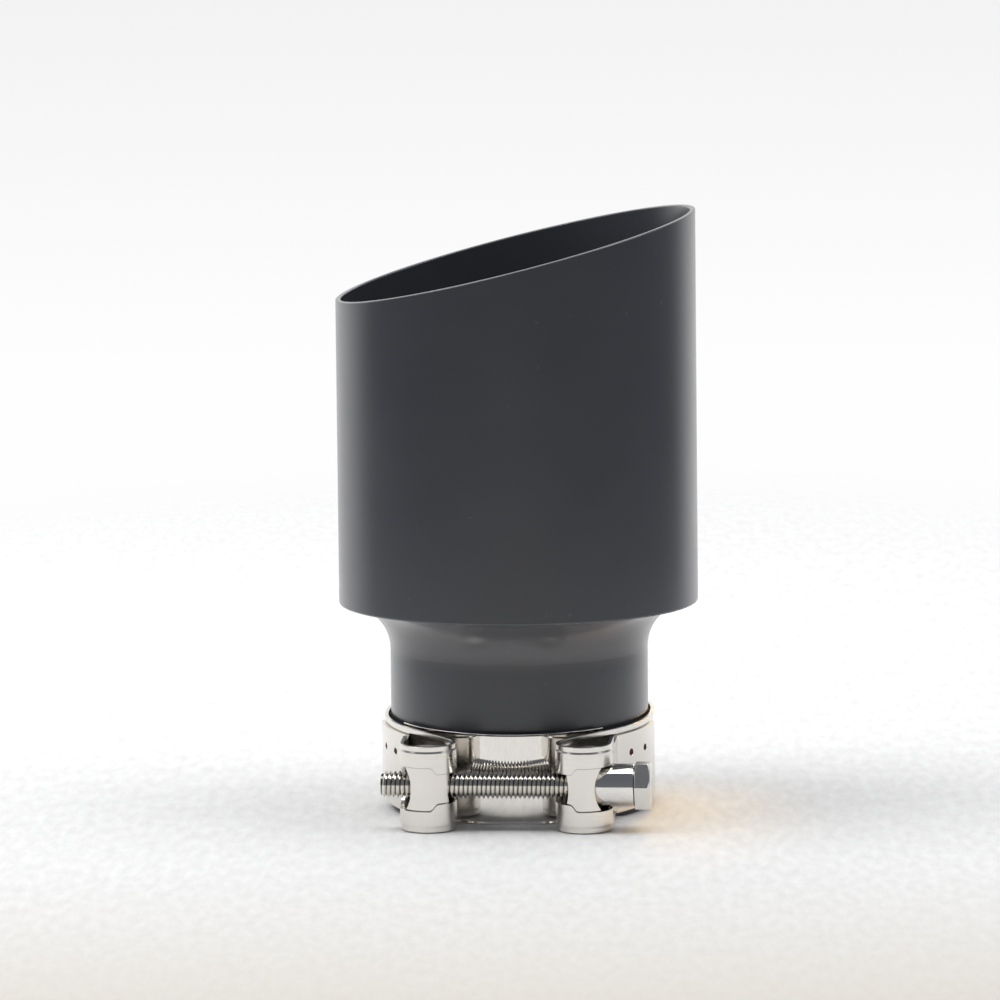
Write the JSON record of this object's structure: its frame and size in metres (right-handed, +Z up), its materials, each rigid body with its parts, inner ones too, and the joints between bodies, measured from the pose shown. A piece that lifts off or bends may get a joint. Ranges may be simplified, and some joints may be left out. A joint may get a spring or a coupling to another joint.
{
  "type": "exhaust tip",
  "caption": "Slant-cut tubular exhaust tip with a flared inlet neck and a bolted band clamp that fastens it over a tailpipe.",
  "frame": {"origin": "centre of the inlet neck's open end, on the tip's axis", "axes": "+Z up the tip's axis towards the outlet, +X towards the long side of the slanted rim"},
  "size_m": [0.08, 0.0844, 0.1332],
  "materials": {
    "black_coat": "satin black baked coating",
    "stainless_strip": "bright rolled stainless strip",
    "turned_steel": "fine turned and tumbled",
    "polished_steel": "polished",
    "bolt_steel": "bright rolled thread"
  },
  "bodies": {
    "tip": {"outer_sleeve": "black_coat", "inlet_neck": "black_coat", "clamp_band": "stainless_strip", "clamp_bridge": "stainless_strip", "threaded_trunnion": "turned_steel", "plain_trunnion": "turned_steel"},
    "spacer": {"spacer_tube": "polished_steel"},
    "bolt": {"clamp_bolt": "bolt_steel"}
  },
  "joints": [
    {"name": "bolt_travel", "type": "slide", "parent": "tip", "child": "spacer", "axis": [0.9959, -0.0906, 0], "range_m": [0, 0.012]},
    {"name": "bolt_turn", "type": "hinge", "parent": "spacer", "child": "bolt", "pos_m": [-0.00321, -0.03582, 0.00999], "axis": [0.9959, -0.0906, 0], "range_deg": [0, 4320]}
  ],
  "couplings": [
    {"joint": "bolt_turn", "follows": "bolt_travel", "rad_per_m": 6283.2}
  ]
}
